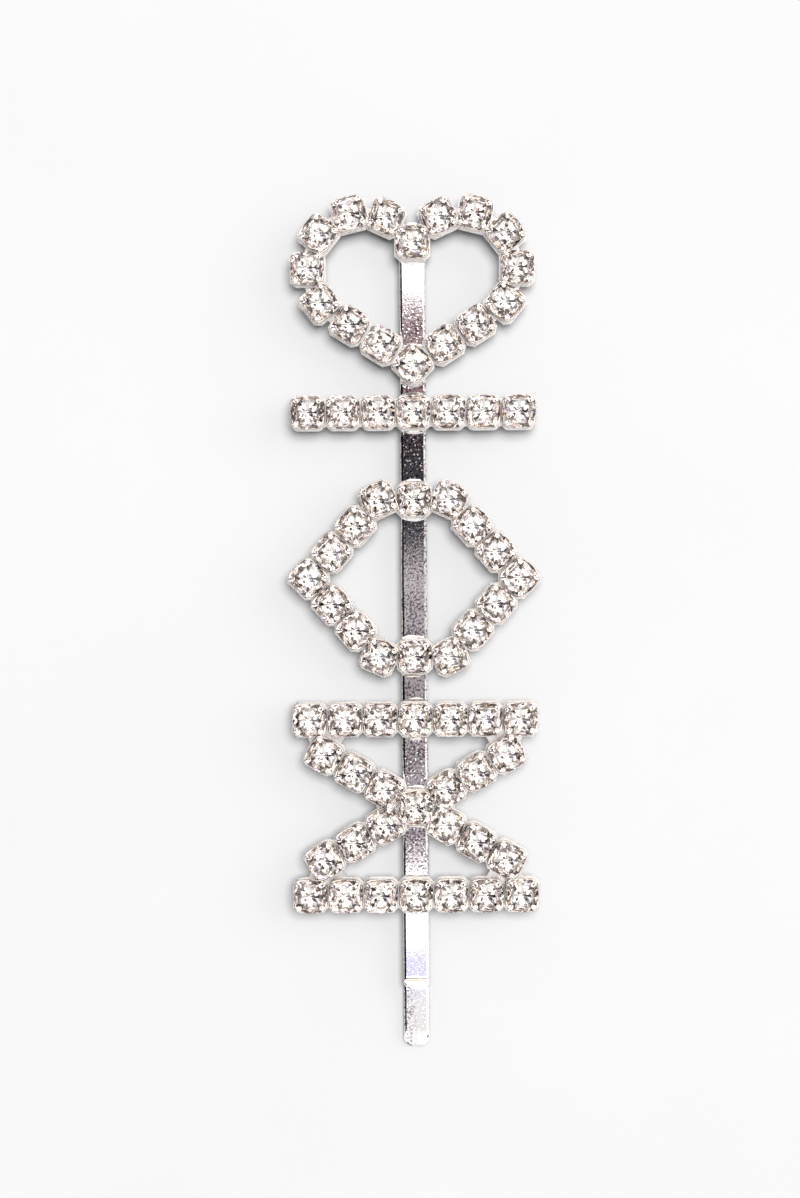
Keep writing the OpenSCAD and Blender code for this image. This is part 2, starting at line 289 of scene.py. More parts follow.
def paintedFacetShade(tree):
    # a number of its own for each facet of each stone, which picks its painted reflection tone; large
    # facets never fall below their least share, so they only get the bright painted tones
    facet, batch, least = [addNode(tree, "ShaderNodeAttribute", attribute_name=name).outputs["Fac"]
                           for name in ("facet", "tint", "least")]
    turn = calc(tree, "FRACT", calc(tree, "ADD", facet, calc(tree, "MULTIPLY", batch, 7.0)))
    return addNode(tree, "ShaderNodeMapRange", {"Value": turn, "To Min": least}).outputs[0]


def cutGlass():
    material, tree, shader = newMaterial("cutGlass", Transmission_Weight=1.0, Roughness=0.0, IOR=1.58)
    # painted reflections: the dark, brown and lavender tones stand in for dark surroundings mirrored in
    # a facet, the white ones for bright light
    tint = rampNode(tree, paintedFacetShade(tree), [
        (0.0, (0.05, 0.04, 0.04)), (0.24, (0.16, 0.12, 0.10)), (0.34, (0.40, 0.36, 0.50)),
        (0.42, (1.0, 0.99, 0.97)), (0.70, (1.0, 1.0, 1.0)), (0.92, (0.97, 0.97, 1.0))], "CONSTANT")
    tree.links.new(tint, shader.inputs["Base Color"])
    return material


def stoneFoil():
    material, tree, shader = newMaterial("stoneFoil", Metallic=1.0, Roughness=0.02)
    # painted reflections: the dark, lavender and cream tones stand in for dark surroundings and the
    # stone's coloured fire mirrored in the foil
    tint = rampNode(tree, paintedFacetShade(tree), [
        (0.0, (0.30, 0.26, 0.24)), (0.20, (0.48, 0.42, 0.54)), (0.30, (0.98, 0.92, 0.84)),
        (0.40, (0.98, 0.97, 0.97)), (0.90, (0.93, 0.91, 0.98))], "CONSTANT")
    tree.links.new(tint, shader.inputs["Base Color"])
    return material


def matteFloor():
    material, tree, shader = newMaterial("matteFloor", Roughness=0.9)
    where = addNode(tree, "ShaderNodeTexCoord").outputs["Object"]
    tint = rampNode(tree, noise(tree, where, 30.0, 3.0), [
        (0.3, (0.0992, 0.0990, 0.0993)), (0.7, (0.1012, 0.1010, 0.1013))])
    tree.links.new(tint, shader.inputs["Base Color"])
    return material


materials = {
    "strip": platedStrip(),
    "cup": softMetal("claspMetal", shadeSeat=True),
    "plate": softMetal("plateMetal"),
    "solder": softMetal("solderMetal"),
    "glass": cutGlass(),
    "foil": stoneFoil(),
    "floor": matteFloor(),
}
print("materials ready")


sharpFrom = math.radians(50)   # edges that turn more than this stay sharp


def meshObject(name, corners, faces, smooth=False):
    mesh = bpy.data.meshes.new(name)
    mesh.from_pydata(corners, [], faces)
    mesh.update()
    tidy = bmesh.new()
    tidy.from_mesh(mesh)
    bmesh.ops.remove_doubles(tidy, verts=tidy.verts, dist=1e-8)
    bmesh.ops.recalc_face_normals(tidy, faces=tidy.faces)
    tidy.to_mesh(mesh)
    tidy.free()
    if smooth:
        mesh.shade_smooth()
        mesh.set_sharp_from_angle(angle=sharpFrom)
    else:
        mesh.shade_flat()
    piece = bpy.data.objects.new(name, mesh)
    bpy.context.scene.collection.objects.link(piece)
    return piece


def ringFaces(rings, count, closed=True):
    # quads between rings of the same number of corners, with both ends capped
    faces = []
    for r in range(rings - 1):
        for i in range(count):
            j = (i + 1) % count
            faces.append((r * count + i, r * count + j, (r + 1) * count + j, (r + 1) * count + i))
    if closed:
        faces.append(tuple(range(count - 1, -1, -1)))
        faces.append(tuple((rings - 1) * count + i for i in range(count)))
    return faces


def polar(radius, degrees, height):
    return (radius * math.cos(math.radians(degrees)), radius * math.sin(math.radians(degrees)), height)


stoneCut = {
    "sides": 8,
    "crownWaist": 0.42,      # of the way from the girdle in to the table, where the small facets end
    "lowerRadius": 0.66,     # of the girdle's radius, where the pavilion's small facets end
    "culetRadius": 0.05 * mm,
    "tableScale": 1.04,      # the table, against the frame's plainer stone
    # toneSeed and leastTone set the painted reflection tones that each facet draws
    "toneSeed": 5,
    "leastTone": 0.42,       # a large facet's lowest share of the tone ramps
}


def cutStone():
    # middle of the girdle at the origin; table, stars, kites and halves above, mains and halves below
    sides = stoneCut["sides"]
    step = 360 / sides
    girdleR = stone["radius"]
    tableR = stone["tableRadius"] * stoneCut["tableScale"]
    half = (stone["girdleTop"] - stone["girdleLow"]) / 2
    crown = stone["table"] - stone["girdleTop"]
    depth = stone["girdleLow"] - stone["culet"]
    lowerR = stoneCut["lowerRadius"] * girdleR
    cosHalf = math.cos(math.radians(step / 2))
    lowerZ = -half - depth * (girdleR - lowerR * cosHalf) / (girdleR - stoneCut["culetRadius"])
    waistR = girdleR + (tableR - girdleR) * stoneCut["crownWaist"]
    waistZ = half + crown * (girdleR - waistR * cosHalf) / (girdleR - tableR)
    corners = [polar(tableR, i * step, half + crown) for i in range(sides)]
    corners += [polar(waistR, (i + 0.5) * step, waistZ) for i in range(sides)]
    corners += [polar(girdleR, i * step / 2, half) for i in range(2 * sides)]
    corners += [polar(girdleR, i * step / 2, -half) for i in range(2 * sides)]
    corners += [polar(lowerR, (i + 0.5) * step, lowerZ) for i in range(sides)]
    corners += [polar(stoneCut["culetRadius"], i * step, -half - depth) for i in range(sides)]
    waist, upper, under, low, culet = sides, 2 * sides, 4 * sides, 6 * sides, 7 * sides
    faces = [tuple(range(sides))]
    smallAbove = []
    for i in range(sides):
        nxt, prev = (i + 1) % sides, (i - 1) % sides
        left, middlePoint, right = 2 * i, 2 * i + 1, (2 * i + 2) % (2 * sides)
        smallAbove.append((waist + i, upper + left, upper + middlePoint))
        smallAbove.append((waist + i, upper + middlePoint, upper + right))
        faces.append((i, waist + prev, upper + left, waist + i))
        faces.append((i, waist + i, nxt))
        faces.append((upper + left, under + left, under + middlePoint, upper + middlePoint))
        faces.append((upper + middlePoint, under + middlePoint, under + right, upper + right))
        faces.append((culet + i, low + prev, under + left, low + i))
        faces.append((low + i, under + left, under + middlePoint))
        faces.append((low + i, under + middlePoint, under + right))
        faces.append((culet + i, low + i, culet + nxt))
    faces.append(tuple(culet + i for i in reversed(range(sides))))
    faces += smallAbove
    piece = meshObject("stoneTemplate", corners, faces)
    isBack = [bool(polygon.center.z < -half * 1.001) for polygon in piece.data.polygons]
    draw = random.Random(stoneCut["toneSeed"])
    mark = piece.data.attributes.new("foil", "BOOLEAN", "FACE")
    mark.data.foreach_set("value", isBack)
    # each face draws a number that picks its painted reflection tone; small facets may take the darkest
    # painted shade, large ones only the bright painted tones
    facet = piece.data.attributes.new("facet", "FLOAT", "FACE")
    facet.data.foreach_set("value", [draw.random() for _ in piece.data.polygons])
    least = piece.data.attributes.new("least", "FLOAT", "FACE")
    firstSmall = len(piece.data.polygons) - len(smallAbove)
    isSmall = [p.index >= firstSmall or (isBack[p.index] and len(p.vertices) == 3)
               for p in piece.data.polygons]
    least.data.foreach_set("value", [0.0 if small else stoneCut["leastTone"] for small in isSmall])
    return piece


def cutSquare(half, corner, steps=5):
    # a square outline with rounded corners, anticlockwise from the +X side
    points = []
    for quarter in range(4):
        for k in range(steps + 1):
            angle = math.radians(90 * quarter + 90 * k / steps)
            centre = half - corner
            cx = centre * (1 if quarter in (0, 3) else -1)
            cy = centre * (1 if quarter in (0, 1) else -1)
            points.append((cx + corner * math.cos(angle), cy + corner * math.sin(angle)))
        mid = math.radians(90 * quarter + 90)
        points.append((half * math.cos(mid), half * math.sin(mid)))
    return points


def pavilionRadius(height):
    # the stone's radius at a height below its girdle
    share = (stone["girdleLow"] - height) / (stone["girdleLow"] - stone["culet"])
    return stone["radius"] * (1 - min(max(share, 0), 1)) + stoneCut["culetRadius"]


cupShape = {
    "edge": 0.05 * mm,       # broken edge of the rim and the foot
    "rimLift": 1.05,         # of the rim's drop, regained at the corners
    "floor": 0.6 * mm,       # bottom of the seat above the foot
}


def clawCup():
    # stands at its real height, with its axis through the origin
    half, corner = cup["half"], cup["corner"]
    outer = cutSquare(half, corner)
    count = len(outer)
    edge = cupShape["edge"]
    rise = [abs(math.sin(2 * math.atan2(y, x))) ** 3 for x, y in outer]
    rims = [stone["girdleLow"] - cup["rimDrop"] * (1 - cupShape["rimLift"] * r) for r in rise]
    corners = []

    def addRing(inset, heights):
        for (x, y), z in zip(outer, heights):
            length = math.hypot(x, y)
            corners.append((x * (1 - inset / length), y * (1 - inset / length), z))

    def addRound(radii, heights):
        for (x, y), r, z in zip(outer, radii, heights):
            length = math.hypot(x, y)
            corners.append((x * r / length, y * r / length, z))

    addRing(edge, [cup["low"]] * count)
    addRing(0, [cup["low"] + edge] * count)
    addRing(0, [z - edge for z in rims])
    addRing(edge * 0.4, [z - edge * 0.3 for z in rims])
    addRing(edge, rims)
    seat = [pavilionRadius(z) + cup["clear"] for z in rims]
    addRound([s + edge for s in seat], rims)
    addRound(seat, [z - edge for z in rims])
    floor = cup["low"] + cupShape["floor"]
    addRound([pavilionRadius(floor) + cup["clear"]] * count, [floor] * count)
    faces = ringFaces(8, count)
    body = meshObject("cupBody", corners, faces, smooth=True)
    claws = [claw(45 + 90 * i) for i in range(4)]
    return joined("cupTemplate", [body, *claws])


clawShape = {
    "rootRise": 0.9 * mm,    # of the tongue's root above the cup's foot
    "bendSteps": 4,
    "lieShares": (0.4, 0.75, 0.95, 1.0),   # places along the stretch that lies on the crown
    "widths": (1.25, 1.15, 1.05, 1.0, 0.97, 0.94, 0.9, 0.82, 0.68, 0.42, 0.12),   # root to tip
    "thicks": (1.0, 1.0, 1.0, 1.0, 1.0, 1.0, 1.0, 0.95, 0.85, 0.6, 0.2),
    "squareWide": 1.35,      # how far the round section is flattened
    "squareDeep": 1.25,
}


def claw(degrees):
    # a tongue that stands in the cup's corner, bends over the girdle and lies on the crown
    slope = math.atan2(stone["table"] - stone["girdleTop"], stone["radius"] - stone["tableRadius"])
    inner = stone["radius"] + cup["clear"]
    thick = cup["clawThick"]
    tipR = stone["radius"] - cup["clawReach"]
    spine = [(inner + thick * 0.7, cup["low"] + clawShape["rootRise"]),
             (inner + thick * 0.75, stone["girdleLow"] - 0.15 * mm),
             (inner + thick * 0.55, stone["girdleTop"] - 0.02 * mm)]
    steps = clawShape["bendSteps"]
    for k in range(1, steps + 1):
        # round the girdle's edge on an arc until the tongue lies along the crown
        turn = (math.pi / 2 - slope) * k / steps
        spine.append((stone["radius"] + (cup["clear"] + thick * 0.5) * math.cos(turn),
                      stone["girdleTop"] + (cup["clear"] + thick * 0.5) * math.sin(turn) + 0.01 * mm))
    last = spine[-1]
    run = (last[0] - tipR) / math.cos(slope)
    for share in clawShape["lieShares"]:
        spine.append((last[0] - run * share * math.cos(slope), last[1] + run * share * math.sin(slope)))
    section = [(math.cos(a), math.sin(a)) for a in (math.radians(22.5 + 45 * i) for i in range(8))]
    corners = []
    for k, (r, z) in enumerate(spine):
        ahead, behind = spine[min(k + 1, len(spine) - 1)], spine[max(k - 1, 0)]
        along = Vector((ahead[0] - behind[0], 0, ahead[1] - behind[1])).normalized()
        out = Vector((along.z, 0, -along.x))
        for c, s in section:
            flat = (max(-1, min(1, c * clawShape["squareWide"])) * cup["clawWidth"] / 2
                    * clawShape["widths"][k])
            deep = max(-1, min(1, s * clawShape["squareDeep"])) * thick / 2 * clawShape["thicks"][k]
            corners.append((r + out.x * deep, flat, z + out.z * deep))
    piece = meshObject("claw", corners, ringFaces(len(spine), 8), smooth=True)
    piece.data.transform(Matrix.Rotation(math.radians(degrees), 4, "Z"))
    return piece


def joined(name, objects):
    whole = bmesh.new()
    for piece in objects:
        whole.from_mesh(piece.data)
        bpy.data.objects.remove(piece)
    mesh = bpy.data.meshes.new(name)
    whole.to_mesh(mesh)
    whole.free()
    mesh.shade_smooth()
    mesh.set_sharp_from_angle(angle=sharpFrom)
    result = bpy.data.objects.new(name, mesh)
    bpy.context.scene.collection.objects.link(result)
    return result


def settingTree():
    # each point of the input mesh carries its heading; the tree adds a seeded spin, tilt and tint, a
    # random number per stone that the stone materials use to shift which facets get the painted
    # reflection tones
    tree = bpy.data.node_groups.new("Set On Places", "GeometryNodeTree")
    face = tree.interface
    face.new_socket("Geometry", in_out="INPUT", socket_type="NodeSocketGeometry")
    face.new_socket("Template", in_out="INPUT", socket_type="NodeSocketObject")
    for name, kind in (("Spin", "Float"), ("Tilt", "Float"), ("Lift", "Float"), ("Seed", "Int"),
                       ("Finish", "Material"), ("Back Finish", "Material")):
        face.new_socket(name, in_out="INPUT", socket_type="NodeSocket" + kind)
    face.new_socket("Geometry", in_out="OUTPUT", socket_type="NodeSocketGeometry")
    given = tree.nodes.new("NodeGroupInput").outputs
    template = addNode(tree, "GeometryNodeObjectInfo", {"Object": given["Template"]})
    heading = addNode(tree, "GeometryNodeInputNamedAttribute", {"Name": "heading"}, data_type="FLOAT")
    seedNext = calc(tree, "ADD", given["Seed"], 17.0)
    seedLast = calc(tree, "ADD", given["Seed"], 31.0)
    draws = []
    for seed in (given["Seed"], seedNext, seedLast):
        draw = addNode(tree, "FunctionNodeRandomValue", data_type="FLOAT")
        draw.inputs[2].default_value = -1.0
        draw.inputs[3].default_value = 1.0
        tree.links.new(seed, draw.inputs["Seed"])
        draws.append(draw.outputs[1])
    spin = calc(tree, "MULTIPLY_ADD", draws[0], given["Spin"], heading.outputs[0])
    tiltX = calc(tree, "MULTIPLY", draws[1], given["Tilt"])
    tiltY = calc(tree, "MULTIPLY", draws[2], given["Tilt"])
    turn = addNode(tree, "ShaderNodeCombineXYZ", {"X": tiltX, "Y": tiltY, "Z": spin})
    copies = addNode(tree, "GeometryNodeInstanceOnPoints", {
        "Points": given["Geometry"], "Instance": template.outputs["Geometry"],
        "Rotation": turn.outputs[0]})
    rise = addNode(tree, "ShaderNodeCombineXYZ", {"Z": given["Lift"]})
    lifted = addNode(tree, "GeometryNodeTranslateInstances", {
        "Instances": copies.outputs[0], "Translation": rise.outputs[0]})
    lifted.inputs["Local Space"].default_value = False
    # tint: a random number per stone that reshuffles its painted facet reflections
    tint = addNode(tree, "FunctionNodeRandomValue", data_type="FLOAT")
    tree.links.new(given["Seed"], tint.inputs["Seed"])
    stored = addNode(tree, "GeometryNodeStoreNamedAttribute", {
        "Geometry": lifted.outputs[0], "Name": "tint", "Value": tint.outputs[1]},
        data_type="FLOAT", domain="INSTANCE")
    real = addNode(tree, "GeometryNodeRealizeInstances", {"Geometry": stored.outputs[0]})
    front = addNode(tree, "GeometryNodeSetMaterial", {
        "Geometry": real.outputs[0], "Material": given["Finish"]})
    backs = addNode(tree, "GeometryNodeInputNamedAttribute", {"Name": "foil"}, data_type="BOOLEAN")
    both = addNode(tree, "GeometryNodeSetMaterial", {
        "Geometry": front.outputs[0], "Selection": backs.outputs[0], "Material": given["Back Finish"]})
    result = tree.nodes.new("NodeGroupOutput")
    tree.links.new(both.outputs[0], result.inputs[0])
    return tree


setOnPlaces = settingTree()


def setRow(name, spots, template, height, finish, backFinish=None, spin=0.0, tilt=0.0, seed=1):
    # runs the tree over one row of places and keeps the result as a plain mesh
    dots = bpy.data.meshes.new(name + "Dots")
    dots.from_pydata([(x, y, height) for x, y, _ in spots], [], [])
    heading = dots.attributes.new("heading", "FLOAT", "POINT")
    heading.data.foreach_set("value", [h for _, _, h in spots])
    carrier = bpy.data.objects.new(name + "Dots", dots)
    bpy.context.scene.collection.objects.link(carrier)
    modifier = carrier.modifiers.new("rows", "NODES")
    modifier.node_group = setOnPlaces
    sockets = {s.name: s.identifier for s in setOnPlaces.interface.items_tree if s.in_out == "INPUT"}
    values = {"Template": template, "Spin": spin, "Tilt": tilt, "Lift": 0.0, "Seed": seed,
              "Finish": finish, "Back Finish": backFinish or finish}
    for key, value in values.items():
        modifier[sockets[key]] = value
    graph = bpy.context.evaluated_depsgraph_get()
    mesh = bpy.data.meshes.new_from_object(carrier.evaluated_get(graph), depsgraph=graph)
    carrier.modifiers.clear()
    bpy.data.objects.remove(carrier)
    mesh.name = name
    piece = bpy.data.objects.new(name, mesh)
    bpy.context.scene.collection.objects.link(piece)
    return piece


def place(piece, body, slot, *nodes):
    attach(piece, body)
    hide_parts(*nodes)
    return piece


stoneTemplate = cutStone()
stoneTemplate.data.materials.append(materials["glass"])
cupTemplate = clawCup()
cupTemplate.data.materials.append(materials["cup"])
setting = {
    "sink": 0.08 * mm,       # how far each stone is pressed into its cup
    "spin": math.pi,
    "tilt": math.radians(4.2),
    "stoneSeed": 11,
    "cupSeed": 51,
}
girdleMiddle = (stone["girdleLow"] + stone["girdleTop"]) / 2 - setting["sink"]
for index, (row, spots) in enumerate(sorted(places.items())):
    stones = setRow(row + "_cut_stones", spots, stoneTemplate, girdleMiddle, materials["glass"],
                    materials["foil"], setting["spin"], setting["tilt"], setting["stoneSeed"] + index)
    place(stones, "upper", "stone_glass", row + "_stones")
    cups = setRow(row + "_claw_cups", spots, cupTemplate, 0.0, materials["cup"],
                  seed=setting["cupSeed"] + index)
    place(cups, "upper", "cup_metal", row + "_cups")
for template in (stoneTemplate, cupTemplate):
    bpy.data.objects.remove(template)
print("stones set in their cups")


plateEdge = {"corner": 0.22 * mm, "cornerSteps": 3, "edge": 0.05 * mm, "edgeSteps": 2}


def backingPlate(node):
    # the CAD frame with its outer corners rounded and its edges broken
    shape = bmesh.new()
    shape.from_mesh(frame["nodes"][node].data)
    bmesh.ops.remove_doubles(shape, verts=shape.verts, dist=1e-7)
    bmesh.ops.dissolve_limit(shape, angle_limit=math.radians(1), verts=shape.verts, edges=shape.edges)
    upright = [e for e in shape.edges if abs((e.verts[0].co - e.verts[1].co).normalized().z) > 0.99]
    bmesh.ops.bevel(shape, geom=upright, offset=plateEdge["corner"],
                    segments=plateEdge["cornerSteps"], profile=0.5, affect="EDGES", clamp_overlap=True)
    flat = [e for e in shape.edges if abs((e.verts[0].co - e.verts[1].co).z) < 1e-8
            and len(e.link_faces) == 2 and e.calc_face_angle(0) > math.radians(60)]
    bmesh.ops.bevel(shape, geom=flat, offset=plateEdge["edge"],
                    segments=plateEdge["edgeSteps"], profile=0.5, affect="EDGES", clamp_overlap=True)
    bmesh.ops.recalc_face_normals(shape, faces=shape.faces)
    name = node.replace("_frame", "_backing_plate")
    mesh = bpy.data.meshes.new(name)
    shape.to_mesh(mesh)
    shape.free()
    mesh.materials.append(materials["plate"])
    piece = bpy.data.objects.new(name, mesh)
    bpy.context.scene.collection.objects.link(piece)
    return piece


for node in sorted(n for n in frame["nodes"] if n.endswith("_frame")):
    place(backingPlate(node), "upper", "backing_metal", node)
print("backing plates made")


solderLook = {
    "run": 0.42 * mm,        # how far the pool runs out past the plate
    "rise": 0.34 * mm,
    "stations": 26,
    "across": 14,
    "hollow": 2.2,           # power of the run-out's curve, in side view and in plan
    "spread": 0.98,          # of the half-width
    "lift": 0.004 * mm,
    "sunk": 0.01 * mm,
}


def solderBead(node):
    # one low pool for each crossing: flat under the plate, then a hollow run-out along the strip
    draw = random.Random(len(node))
    corners, faces = [], []
    for part in looseParts(node):
        low, high = part.min(0), part.max(0)
        centre = (low + high) / 2
        halfY, halfX = (high[1] - low[1]) / 2, (high[0] - low[0]) / 2
        under = halfY - solderLook["run"]
        start = len(corners)
        phase = draw.uniform(0, 6.28)
        rows, columns = solderLook["stations"], solderLook["across"]
        for i in range(rows + 1):
            v = -1 + 2 * i / rows
            for k in range(columns + 1):
                u = -1 + 2 * k / columns
                scallop = 0.15 + 0.55 * abs(u) ** solderLook["hollow"] + 0.08 * math.sin(3 * u + phase)
                front = halfY - solderLook["run"] * scallop
                y = v * front
                away = max(0.0, (abs(y) - under) / max(front - under, 1e-6))
                profile = (1 - away) ** solderLook["hollow"] if abs(y) > under else 1.0
                side = 1 - abs(u) ** 6 * 0.75
                height = solderLook["rise"] * profile * side
                corners.append((centre[0] + u * halfX * solderLook["spread"], centre[1] + y,
                                low[2] + height + solderLook["lift"]))
        for i in range(rows):
            for k in range(columns):
                a = start + i * (columns + 1) + k
                faces.append((a, a + 1, a + columns + 2, a + columns + 1))
        edge = [start + k for k in range(columns + 1)]
        edge += [start + i * (columns + 1) + columns for i in range(1, rows + 1)]
        edge += [start + rows * (columns + 1) + k for k in range(columns - 1, -1, -1)]
        edge += [start + i * (columns + 1) for i in range(rows - 1, 0, -1)]
        base = len(corners)
        corners += [(corners[e][0], corners[e][1], low[2] - solderLook["sunk"]) for e in edge]
        for k in range(len(edge)):
            nxt = (k + 1) % len(edge)
            faces.append((edge[k], edge[nxt], base + nxt, base + k))
        faces.append(tuple(base + k for k in range(len(edge))))
    piece = meshObject(node + "_pool", corners, faces, smooth=True)
    piece.data.materials.append(materials["solder"])
    return piece


for node in sorted(n for n in frame["nodes"] if n.endswith("_solder")):
    place(solderBead(node), "upper", "solder", node)
print("solder run in")


strip = {
    "half": (upperHigh.x - upperLow.x) / 2,
    "thick": solderLow.z - upperLow.z,
    "bevelWide": 0.24 * mm,
    "bevelDeep": 0.14 * mm,
    "tipRound": 0.8 * mm,      # rounding in plan
    "tipThin": 0.22 * mm,      # rounding in side view
    "tipLeast": 0.05,          # of full size, at the very tip
    "keep": 0.012 * mm,        # from each eased edge to the point that holds its face flat
}
hinge = Vector(frame["joints"][0]["pos_m"])
bendRadius = hinge.z - strip["thick"] / 2
upperMiddle = hinge.z + bendRadius


def stripSection():
    # a flat bar with eased edges, anticlockwise seen from its end; the extra points keep its faces flat
    points = []
    wide, deep = strip["bevelWide"], strip["bevelDeep"]
    keep = strip["keep"]
    for sx, sz, start in ((1, 1, 0), (-1, 1, 90), (-1, -1, 180), (1, -1, 270)):
        arc = []
        for k in range(6):
            angle = math.radians(start + 90 * k / 5)
            arc.append((sx * (strip["half"] - wide) + wide * math.cos(angle),
                        sz * (strip["thick"] / 2 - deep) + deep * math.sin(angle)))
        first, last = arc[0], arc[-1]
        if sx == sz:
            points += [(first[0], first[1] - sz * keep), *arc, (last[0] - sx * keep, last[1])]
        else:
            points += [(first[0] - sx * keep, first[1]), *arc, (last[0], last[1] - sz * keep)]
    return points


def sweptStrip(name, path, tipY):
    # carries the section along a path of (y, z) points and rounds it off in plan where it nears tipY
    section = stripSection()
    corners = []
    for k, (y, z) in enumerate(path):
        ahead, behind = path[min(k + 1, len(path) - 1)], path[max(k - 1, 0)]
        along = Vector((0, ahead[0] - behind[0], ahead[1] - behind[1])).normalized()
        up = Vector((0, -along.z, along.y)) if along.y > 0 else Vector((0, along.z, -along.y))
        left = y - tipY
        share = min(1.0, max(0.0, left / strip["tipRound"]))
        narrow = max(math.sqrt(max(0.0, 1 - (1 - share) ** 2)), strip["tipLeast"])
        share = min(1.0, left / strip["tipThin"])
        thin = max(math.sqrt(max(0.0, 1 - (1 - share) ** 2)), strip["tipLeast"])
        for x, h in section:
            corners.append((x * narrow, y + up.y * h * thin, z + up.z * h * thin))
    piece = meshObject(name, corners, ringFaces(len(path), len(section)), smooth=True)
    piece.data.materials.append(materials["strip"])
    return piece


stripRun = {
    "flareAngle": 32,
    "flareRadius": 1.6 * mm,
    "flareEnd": 0.45 * mm,
    "riseRun": 4.0 * mm,
    "waveRun": 9.0 * mm,
    "waves": 3,
    "tailRise": 0.6 * mm,
    "curlRun": 1.3 * mm,
}


def steps(start, end, size):
    count = max(2, int(abs(end - start) / size))
    return [start + (end - start) * k / count for k in range(count + 1)]


def upperPath():
    # from the flared tip back along the flat leg and round the bend to the lower leg
    slant = math.radians(stripRun["flareAngle"])
    radius, end = stripRun["flareRadius"], stripRun["flareEnd"]
    tip = upperLow.y
    flareStart = tip + radius * math.sin(slant) + end * math.cos(slant)
    lift = radius * (1 - math.cos(slant))
    path = []
    for share in (0, 0.04, 0.1, 0.2, 0.35, 0.55, 0.8, 1.0):
        path.append((tip + share * end * math.cos(slant),
                     upperMiddle + lift + (1 - share) * end * math.sin(slant)))
    for k in range(15, -1, -1):
        angle = slant * k / 16
        path.append((flareStart - radius * math.sin(angle),
                     upperMiddle + radius * (1 - math.cos(angle))))
    path += [(y, upperMiddle) for y in steps(flareStart + 0.3 * mm, hinge.y, 0.6 * mm)]
    for k in range(1, 41):
        angle = math.pi * k / 40
        path.append((hinge.y + bendRadius * math.sin(angle), hinge.z + bendRadius * math.cos(angle)))
    return path


def lowerHeight(y):
    # the lower leg's middle height: flat, then three waves, a long rise and a curled tip
    riseStart = upperLow.y + stripRun["riseRun"]
    waveStart = riseStart + stripRun["waves"] * stripRun["waveRun"]
    curlStart = lowerLow.y + stripRun["curlRun"]
    middleZ = strip["thick"] / 2
    waveHeight = lowerHigh.z - strip["thick"]
    if y > waveStart:
        return middleZ
    if y > riseStart:
        turn = 2 * math.pi * (waveStart - y) / stripRun["waveRun"]
        return middleZ + waveHeight / 2 * (1 - math.cos(turn))
    if y > upperLow.y:
        share = (riseStart - y) / stripRun["riseRun"]
        return middleZ + stripRun["tailRise"] / 2 * (1 - math.cos(math.pi * share))
    if y > curlStart:
        return middleZ + stripRun["tailRise"]
    share = (curlStart - y) / stripRun["curlRun"]
    return middleZ + stripRun["tailRise"] * math.cos(math.pi / 2 * share)


def lowerPath():
    tip = lowerLow.y
    points = steps(hinge.y, tip + 1.0 * mm, 0.3 * mm)
    points += [tip + share * mm for share in (0.8, 0.62, 0.48, 0.36, 0.27, 0.2, 0.15, 0.11, 0.08, 0.06)]
    return [(y, lowerHeight(y)) for y in points]


springUpper = sweptStrip("spring_upper_leg", upperPath(), upperLow.y)
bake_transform(springUpper)
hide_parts("pin_upper_leg", "pin_spring_bend")
springLower = sweptStrip("spring_lower_leg", lowerPath(), lowerLow.y + 0.055 * mm)
place(springLower, "lower", "spring_strip", "pin_lower_leg")
print("spring strip swept")


floorLook = {"half": 0.9, "drop": 0.05 * mm}
lamps = {
    "keyPanel": {"place": (1.26, 0.36, 1.26), "size": 1.6, "power": 41.5},
    "topPanel": {"place": (0.10, 0.15, 1.5), "size": 0.55, "power": 175.0},
}


def floorPlane():
    half, level = floorLook["half"], -floorLook["drop"]
    piece = meshObject("studio_floor", [(-half, -half, level), (half, -half, level), (half, half, level),
                                        (-half, half, level)], [(0, 1, 2, 3)])
    piece.data.materials.append(materials["floor"])


def areaLight(name, place, size, power):
    # lights the floor and throws the shadow; the polished pieces see only the sky
    data = bpy.data.lights.new(name, "AREA")
    data.shape = "DISK"
    data.size = size
    data.energy = power
    light = bpy.data.objects.new(name, data)
    light.location = place
    light.visible_glossy = False
    light.visible_transmission = False
    light.rotation_euler = (-Vector(place)).to_track_quat("-Z", "Y").to_euler()
    bpy.context.scene.collection.objects.link(light)


